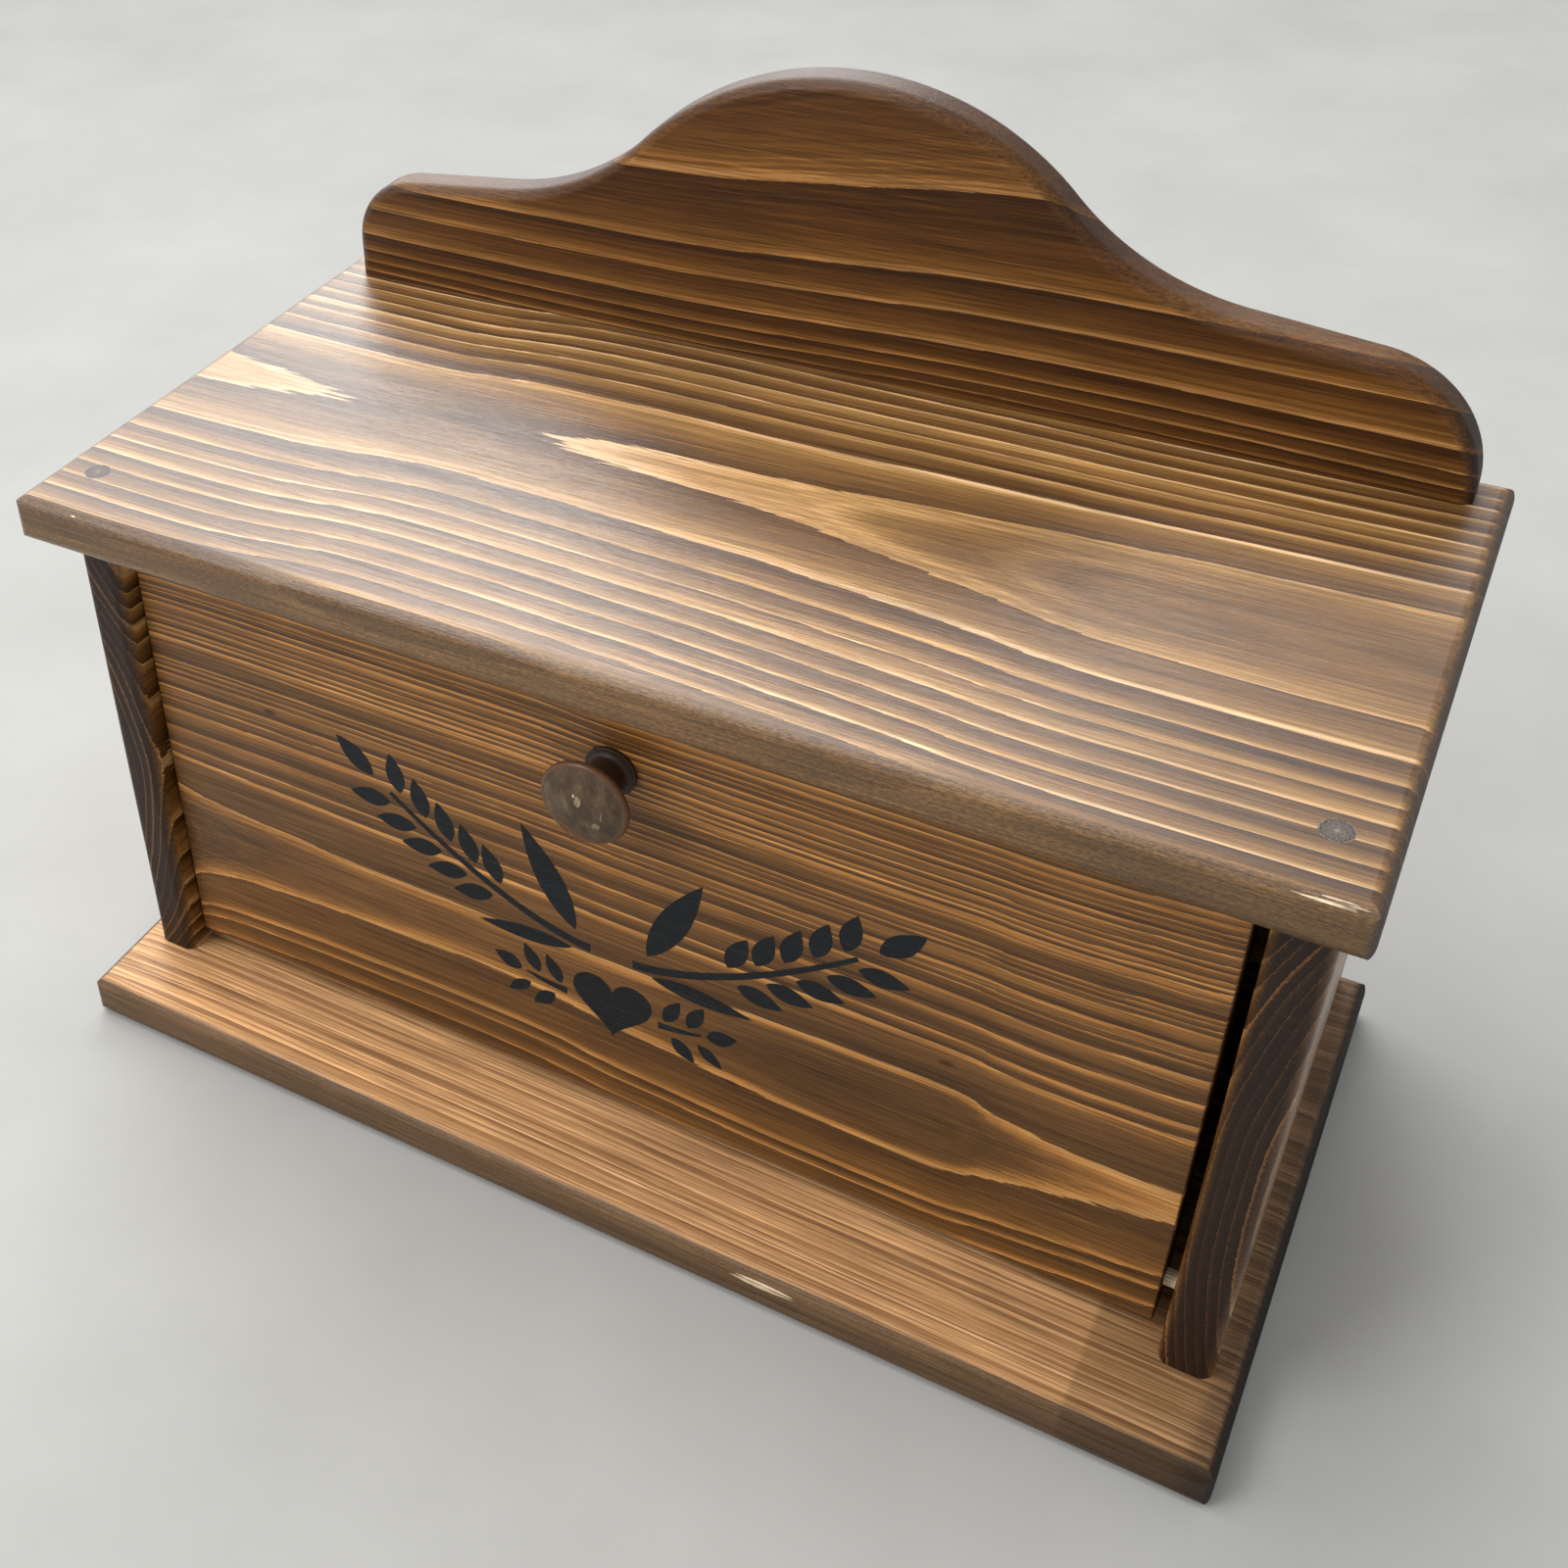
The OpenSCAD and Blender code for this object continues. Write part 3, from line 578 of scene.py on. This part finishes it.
def knob_wood(low, high):
    """Stained beech round an axis along Y, from the lowest and highest corner of the knob in mm."""
    made, tree = empty_material("turned_beech")
    board = board_space(tree, "Z", "XY")
    depth = add(tree, "SeparateXYZ", board).node.outputs["Z"]
    up, side, face = (low[2] + high[2]) / 2, (low[0] + high[0]) / 2, low[1]
    flat = add(tree, "VectorMath", board, (1, 1, 0), (-up, -side, 0), operation="MULTIPLY_ADD")
    reach = add(tree, "VectorMath", flat, operation="LENGTH").node.outputs["Value"]
    patch = streaks(tree, board, (0.10, 0.16, 0.16), 4.0, 0.62, 41.0)
    fleck = streaks(tree, board, (0.35, 1.6, 1.6), 3.0, 0.7, 43.0)
    tone = add(tree, "Math", fleck, 0.28, operation="MULTIPLY")
    tone = add(tree, "Math", patch, 0.72, tone, operation="MULTIPLY_ADD")
    wood = add(tree, "ValToRGB", add(tree, "MapRange", tone, 0.30, 0.70, 0.0, 1.0), stops=BEECH_STAIN)

    # The rim starts 14.6 mm from the axis, and the neck 5.5 mm behind the face.
    rim = add(tree, "MapRange", reach, 14.6, 16.6, 0.0, 0.75)
    wood = add(tree, "Mix", rim, wood, colour("63402a"), data_type="RGBA")
    # Painted shade: the neck and foot, behind the face, are mixed to near black.
    behind = add(tree, "MapRange", depth, face + 5.5, face + 8.5, 0.0, 0.92)
    wood = add(tree, "Mix", behind, wood, colour("2d1a0e"), data_type="RGBA")

    # Place, half sizes, colour and how broken up: the crushed centre, a rubbed spot and a scratch.
    marks = [
        ((up + 5.6, side - 1.9, face), (0.9, 0.7, 9), "c8bb9c", 0.6),
        ((up + 3.6, side - 0.4, face), (2.8, 1.8, 9), "988866", 1.0),
        ((up - 5.2, side + 6.0, face), (2.0, 2.2, 9), "857656", 1.0),
        ((up - 1.6, side + 8.2, face), (4.6, 0.28, 9), "9c8a60", 0.4),
    ]
    for spot, half, code, breakup in marks:
        wear_and_shade = add(tree, "MapRange", fleck, 0.5 - 0.14 * breakup, 0.52, 0.0, 2.2)
        wear_and_shade = add(tree, "Math", blob(tree, board, spot, half), wear_and_shade, operation="MULTIPLY")
        wear_and_shade = add(tree, "MapRange", wear_and_shade, 0.35, 0.75, 0.0, 0.9)
        wood = add(tree, "Mix", wear_and_shade, wood, colour(code), data_type="RGBA")
    bump = add(tree, "Bump", named=[("Strength", 0.4), ("Distance", 0.0003), ("Height", tone)])
    gloss = add(tree, "MapRange", patch, 0.35, 0.65, 0.38, 0.24)
    gloss = add(tree, "Math", behind, 0.2, gloss, operation="MULTIPLY_ADD")
    shader = add(tree, "BsdfPrincipled", named=[
        ("Base Color", wood), ("Normal", bump), ("Roughness", gloss), ("Specular IOR Level", 0.35),
    ])
    add(tree, "OutputMaterial", shader)
    return made


low, high = box_mm("door_knob")
nodes["door_knob"].data.materials[0] = knob_wood(low.tolist(), high.tolist())
print("knob:", [round(float(v), 1) for v in high - low], "mm over all")

# %% [markdown]
# ## Bare wood: dowels and plywood
# The pivot pins are birch dowels, cut to length and left bare, with their flutes pressed in by rollers:
# pale, fine and even, with brown flecks along the grain. The back is birch plywood under a thin stain.
# Its veneers were peeled off a turning log, which gives wide wavy figure on the faces, and its three
# plies show at the edges, the middle one across the others with a dark glue line on either side.

# %% Birch
def bare_wood(name, grain, across, seed, stops, grains, plies=None):
    """Unlacquered birch. plies: where the sheet starts and ends along its thickness, in mm."""
    made, tree = empty_material(name)
    board = board_space(tree, grain, across)
    figure = streaks(tree, board, grains, 4.0, 0.6, seed)
    fleck = streaks(tree, board, (0.15, 3.0, 3.0), 2.0, 0.6, seed + 3)

    # The contour lines of a slow noise are the figure of a peeled veneer.
    wave = add(tree, "Math", figure, 14.0, operation="MULTIPLY")
    wave = add(tree, "Math", wave, 1.0, operation="PINGPONG")
    wave = add(tree, "MapRange", wave, 0.0, 0.45, 0.0, 1.0)
    tone = add(tree, "Math", wave, 0.30, figure, operation="MULTIPLY_ADD")
    tone = add(tree, "Math", fleck, 0.6, tone, operation="MULTIPLY_ADD")
    wood = add(tree, "ValToRGB", add(tree, "MapRange", tone, 0.6, 1.4, 0.0, 1.0), stops=stops)
    if plies:
        # The depth counts the plies from 0 to 3: the middle one lies between glue lines at 1 and 2.
        depth = add(tree, "SeparateXYZ", board).node.outputs["Z"]
        count = add(tree, "MapRange", depth, *plies, 0.0, 3.0)
        middle = add(tree, "Math", count, 1.5, 0.5, operation="COMPARE")
        glue = add(tree, "Math", count, 1.5, operation="PINGPONG")
        glue = add(tree, "Math", glue, 1.0, 0.05, operation="COMPARE")
        edge = turned_faces(tree, grain, across[1])[1]
        middle = add(tree, "Math", middle, edge, operation="MULTIPLY")
        glue = add(tree, "Math", glue, edge, operation="MULTIPLY")
        wood = add(tree, "Mix", middle, wood, colour("8a6238"), data_type="RGBA")
        wood = add(tree, "Mix", glue, wood, colour("3a2413"), data_type="RGBA")
    bump = add(tree, "Bump", named=[("Strength", 0.4), ("Distance", 0.0002), ("Height", fleck)])
    shader = add(tree, "BsdfPrincipled", named=[
        ("Base Color", wood), ("Normal", bump), ("Roughness", 0.6),
    ])
    add(tree, "OutputMaterial", shader)
    return made


birch = bare_wood(
    "bare_birch_dowel", "X", "YZ", 51.0,
    [(0.0, "a98c66"), (0.35, "cdb48d"), (0.7, "dcc9a6"), (1.0, "e8d9bb")], (0.03, 0.6, 0.6),
)
for side in ("left", "right"):
    nodes[side + "_pivot_dowel"].data.materials[0] = birch
near, far = (float(corner[1]) for corner in box_mm("back_panel"))
nodes["back_panel"].data.materials[0] = bare_wood(
    "stained_plywood", "X", "ZY", 57.0,
    [(0.0, "63432a"), (0.3, "815d3c"), (0.65, "9a754d"), (1.0, "ac875c")], (0.004, 0.025, 0.05),
    plies=(near, far),
)
print("birch on the dowels and the back,", round(far - near, 1), "mm thick in 3 plies")

# %% [markdown]
# ## The catch and the fasteners
# Under the top hides a magnetic catch: a brown ABS housing, moulded with a fine spark-eroded texture, a
# pressed and fired ferrite magnet, which is dark grey and slightly pitted, and steel pole plates.
# The plates, screws and nails are zinc plated: a bluish to yellowish bright metal, clouded where the
# plating is thicker, and dulled by handling. Each is one small tree on noise at its own real scale.

# %% Plastic, ferrite and zinc
CLOUD = 12  # how many grains wide a finish's clouds are


def fine_finish(name, grain_mm, stops, gloss, metallic=0.0, relief=0.1):
    """A finish of grains of one size in mm: their colours, their roughness and how far they stand up."""
    made, tree = empty_material(name)
    place = add(tree, "TexCoord").node.outputs["Object"]
    grain = add(tree, "TexNoise", place, MM / grain_mm, 4.0, 0.65)
    cloud = add(tree, "TexNoise", place, MM / (CLOUD * grain_mm), 3.0, 0.6)
    tone = add(tree, "Math", grain, cloud, operation="ADD")
    tint = add(tree, "ValToRGB", add(tree, "MapRange", tone, 0.75, 1.25, 0.0, 1.0), stops=stops)
    rough = add(tree, "MapRange", cloud, 0.3, 0.7, *gloss)
    bump = add(tree, "Bump", named=[("Strength", 0.5), ("Distance", relief / MM), ("Height", grain)])
    shader = add(tree, "BsdfPrincipled", named=[
        ("Base Color", tint), ("Roughness", rough), ("Normal", bump), ("Metallic", metallic),
    ])
    add(tree, "OutputMaterial", shader)
    return made


# ABS is moulded against a grain of 0.4 mm, ferrite has pits of 0.5 mm, and zinc clouds over 4 mm.
abs_plastic = fine_finish(
    "moulded_abs", 0.4, [(0.0, "47301f"), (0.5, "553b27"), (1.0, "624631")], (0.42, 0.55),
)
ferrite = fine_finish(
    "fired_ferrite", 0.5, [(0.0, "262424"), (0.6, "353232"), (1.0, "474343")], (0.55, 0.75), relief=0.2,
)
zinc = fine_finish(
    "plated_zinc", 0.3, [(0.0, "a3a39b"), (0.5, "c2bfb2"), (1.0, "d3cfbd")], (0.24, 0.42), 1.0, 0.03,
)
steel_nodes = [
    "back_panel_nails", "top_screws", "base_screws", "backsplash_screws", "catch_pole_plates",
    "catch_screws", "knob_screw", "strike_plate", "strike_screw",
]
finishes = {name: zinc for name in steel_nodes}
finishes.update(catch_housing=abs_plastic, catch_magnet=ferrite)
for name, made in finishes.items():
    nodes[name].data.materials[0] = made
print(len(finishes), "small parts finished")

# %% [markdown]
# ## The painted ornament
# The door carries black decoration, stencilled in matt acrylic paint: a heart between two sprigs, and
# above it two ears of wheat, which suit a box for bread. Stencil paint has crisp edges and stands up by
# a tenth of a millimetre, and the grain shows through it faintly. A mask in the wood's own shader would
# give flat paint with soft edges, so each motif is a thin closed film, cut to its outline, on the face.

# %% Outlines
def leaf(tip, stalk, width):
    """A pointed leaf between two points in mm: half a wave's width on either side of a straight spine."""
    tip, stalk = np.array(tip, float), np.array(stalk, float)
    spine = tip - stalk
    wide = np.array([-spine[1], spine[0]]) / np.hypot(*spine) * width / 2
    share = np.linspace(0, 1, 15)[:, None]
    belly = np.sin(np.pi * share**0.85) ** 0.9
    spine, belly = stalk + share * spine, belly * wide
    return np.vstack([spine + belly, (spine - belly)[-2:0:-1]])


def strip(points, widths):
    """A tapering stroke: half its width to either side of a line of points, in mm."""
    points = np.array(points, float)
    run = np.gradient(points, axis=0)
    wide = np.stack([-run[:, 1], run[:, 0]], 1) / np.hypot(*run.T)[:, None]
    half = np.array(widths)[:, None] / 2
    return np.vstack([points + wide * half, (points - wide * half)[::-1]])


def sprig():
    """Five leaves round a short stem, to the right of a heart at 0."""
    leaves = [
        ((38.2, 95.9), (32.0, 83.0), 6.4), ((28.5, 94.4), (22.2, 81.4), 6.2),
        ((51.9, 86.0), (39.8, 81.4), 7.4), ((46.3, 67.4), (36.2, 75.5), 5.4),
        ((34.9, 64.8), (25.4, 74.1), 6.5),
    ]
    stem = [(37.6, 81.2), (33, 79.9), (28, 79.0), (24, 78.6), (19.7, 78.2)]
    return [leaf(*one) for one in leaves] + [strip(stem, [0.8, 1.8, 2.4, 2.8, 3.3])]


def pace(heading, length):
    """A step of a length in mm, along a heading in radians."""
    return length * np.array([math.cos(heading), math.sin(heading)])


def ear():
    """An ear of wheat on a bowed stalk, with two long leaves, to the right of 0."""
    share = np.linspace(0, 1, 61)
    stalk = np.stack([9 + 94 * share, 106.5 + 50 * share**1.6], 1)
    shapes = [strip(stalk[:56], np.linspace(4.0, 2.0, 56))]
    for place in (25, 32, 39, 46, 53):
        heading = math.atan2(*(stalk[place + 1] - stalk[place])[::-1])
        for side in (-1, 1):
            # Each grain is seated beside the stalk, and leans outwards from it.
            seat = stalk[place] + pace(heading + side * 1.3, 4.4)
            shapes.append(leaf(seat + pace(heading + side * 0.70, 18.5), seat, 8.0))
    shapes.append(leaf(stalk[-1] + (15, 14), stalk[-1] - (0.5, 0.5), 9.2))
    return shapes + [leaf((58, 100.6), (17, 103.2), 7.2), leaf((37, 158), (15, 113.5), 12.0)]


# The heart is the usual curve of a cubed sine against four cosines.
turn = np.linspace(0, 2 * np.pi, 73)[:-1]
heart = np.stack([
    16.9 * np.sin(turn) ** 3,
    80.6 + 13.9 * np.cos(turn) - 5.3 * np.cos(2 * turn) - 2.1 * np.cos(3 * turn) - 1.0 * np.cos(4 * turn),
], 1)
print("outlines:", len(sprig()), "in a sprig,", len(ear()), "in an ear of wheat")

# %% Matt black paint
paint, tree = empty_material("stencilled_acrylic")
board = board_space(tree, "X", "ZY")
fibre = streaks(tree, board, *FIBRES, 12.0)
scuff = streaks(tree, board, (0.25, 0.7, 0.7), 4.0, 0.7, 61.0)
tone = add(tree, "Math", fibre, scuff, operation="ADD")
black = [(0.0, "121619"), (0.55, "1a1e21"), (0.8, "22272a"), (1.0, "343a3c")]
tint = add(tree, "ValToRGB", add(tree, "MapRange", tone, 0.75, 1.35, 0.0, 1.0), stops=black)
bump = add(tree, "Bump", named=[("Strength", 0.4), ("Distance", 0.0003), ("Height", tone)])
shader = add(tree, "BsdfPrincipled", named=[
    ("Base Color", tint), ("Normal", bump), ("Roughness", 0.6), ("Specular IOR Level", 0.18),
])
add(tree, "OutputMaterial", shader)
print("paint over fibres of the door")

# %% Painted films
FILM = 0.12  # thickness of the paint
MIDDLE = -4.5  # where the ornament's middle lies across the door


def painted(name, outlines, side=1, lift=0.0):
    """Closed flat islands on the door's face: each outline, and the same outline one film further out."""
    face = box_mm("door_panel")[0][1]
    verts, faces = [], []
    for outline in outlines:
        x, z = MIDDLE + side * outline[:, 0], outline[:, 1] + lift
        if np.sum(x * np.roll(z, -1) - np.roll(x, -1) * z) < 0:
            x, z = x[::-1], z[::-1]
        near = sum(map(len, verts)) + np.arange(len(x))
        far = near + len(x)
        verts += [np.stack([x, np.full(len(x), y), z], 1) for y in (face - FILM, face)]
        faces += [near.tolist(), far[::-1].tolist()]
        faces += np.stack([near, far, np.roll(far, -1), np.roll(near, -1)], 1).tolist()
    return new_piece(name, np.vstack(verts), faces, "door", paint)


painted("heart", [heart])
painted("left_sprig", sprig(), -1)
painted("right_sprig", sprig(), 1, lift=1.0)
painted("left_wheat", ear(), -1)
painted("right_wheat", ear(), 1)
print("painted: a heart, two sprigs and two ears of wheat")

# %% [markdown]
# ## Floor and light
# The box stands on a plain pale floor under an open sky. A soft lobe of bright sky behind and to the
# left lies in the lacquer as a broad sheen across the top. One large soft lamp in front, to the left,
# rounds the front edges, and one overhead lights what lies flat a little more than what stands.

# %% Floor
FLOOR = [(-4, -4, 0), (4, -4, 0), (4, 6, 0), (-4, 6, 0)]  # corners, in metres
floor_paint, tree = empty_material("floor_finish")
place = add(tree, "TexCoord").node.outputs["Object"]
mottle = add(tree, "TexNoise", place, 6.0, 5.0, 0.6)
tint = add(tree, "ValToRGB", mottle, stops=[(0.3, "a3a29e"), (0.7, "acaba7")])
shader = add(tree, "BsdfPrincipled", named=[
    ("Base Color", tint), ("Roughness", 0.9), ("Specular IOR Level", 0.1),
])
add(tree, "OutputMaterial", shader)
mesh = bpy.data.meshes.new("floor")
mesh.from_pydata(FLOOR, [], [[0, 1, 2, 3]])
mesh.materials.append(floor_paint)
floor = bpy.data.objects.new("floor", mesh)
bpy.context.collection.objects.link(floor)
print("floor:", FLOOR[2][0] - FLOOR[0][0], "by", FLOOR[2][1] - FLOOR[0][1], "m")

# %% Lamps
def softbox(name, place, target, size, power):
    """A large square lamp aimed at a point: places and size in metres, power in watts."""
    lamp = bpy.data.lights.new(name, "AREA")
    lamp.size = size
    lamp.energy = power
    holder = bpy.data.objects.new(name, lamp)
    holder.location = place
    holder.rotation_euler = (Vector(target) - Vector(place)).to_track_quat("-Z", "Y").to_euler()
    bpy.context.collection.objects.link(holder)


softbox("front_key", (-1.2, -1.5, 1.9), (0, 0, 0.2), 1.1, 30)
softbox("overhead", (-0.7, 0.1, 2.3), (0.0, 0, 0.1), 1.4, 30)
print("lamps: one in front and one overhead")

# %% Sky
# Towards what it is, the cosines of the angles where it starts and where it is full, and its least and
# most light: a glow over the whole left side, the broad lobe, and the brightest part in its middle.
SKY = [
    ((-0.80, -0.30, 0.50), -0.80, 0.90, 0.50, 1.05),
    ((-0.60, 0.65, 0.45), 0.76, 0.98, 0.0, 2.1),
    ((-0.38, 0.76, 0.53), 0.94, 1.0, 0.0, 4.9),
]
world = bpy.data.worlds.new("open_sky")
bpy.context.scene.world = world
world.use_nodes = True
tree = world.node_tree
tree.nodes.clear()
toward = add(tree, "TexCoord").node.outputs["Generated"]
light = 0.0
for centre, start, full, least, most in SKY:
    centre = tuple(Vector(centre).normalized())
    near = add(tree, "VectorMath", toward, centre, operation="DOT_PRODUCT").node.outputs["Value"]
    near = add(tree, "MapRange", near, start, full, least, most)
    light = add(tree, "Math", near, light, operation="ADD")
add(tree, "OutputWorld", add(tree, "Background", colour("f3f5f7"), light))
print("sky:", len(SKY), "parts, brightest behind and to the left")

# %% [markdown]
# ## Camera
# It looks down at the box from above its right front corner, and is rolled by four degrees. Where it
# stands and how long its lens is were solved from the box's own straight edges. The picture's middle is
# off the lens's axis, so the lens is shifted by as much.

# %% Camera
FRAME = 1600  # side of the square picture, in pixels
FOCAL = 1931.18  # distance to the picture's plane, in its pixels
AXIS = (481.53, 673.96)  # the pixel that the lens's axis goes through
SENSOR = 36.0
STAND = (0.23778, -0.53062, 0.61968)
yaw, pitch, roll = -0.5846, 0.6326, -0.0707  # in radians
ahead = Vector((math.sin(yaw) * math.cos(pitch), math.cos(yaw) * math.cos(pitch), -math.sin(pitch)))
right = ahead.cross(Vector((0, 0, 1))).normalized()
up = right.cross(ahead)
right, up = (
    math.cos(roll) * right + math.sin(roll) * up,
    -math.sin(roll) * right + math.cos(roll) * up,
)
lens = bpy.data.cameras.new("camera")
lens.sensor_width = SENSOR
lens.lens = FOCAL / FRAME * SENSOR
lens.shift_x = (FRAME / 2 - AXIS[0]) / FRAME
lens.shift_y = (AXIS[1] - FRAME / 2) / FRAME
camera = bpy.data.objects.new("camera", lens)
camera.matrix_world = Matrix((
    (right.x, up.x, -ahead.x, STAND[0]),
    (right.y, up.y, -ahead.y, STAND[1]),
    (right.z, up.z, -ahead.z, STAND[2]),
    (0, 0, 0, 1),
))
bpy.context.collection.objects.link(camera)
bpy.context.scene.camera = camera
bpy.context.scene.view_settings.view_transform = "Standard"
print("camera:", round(lens.lens, 1), "mm lens,", round(math.degrees(pitch), 1), "degrees down")
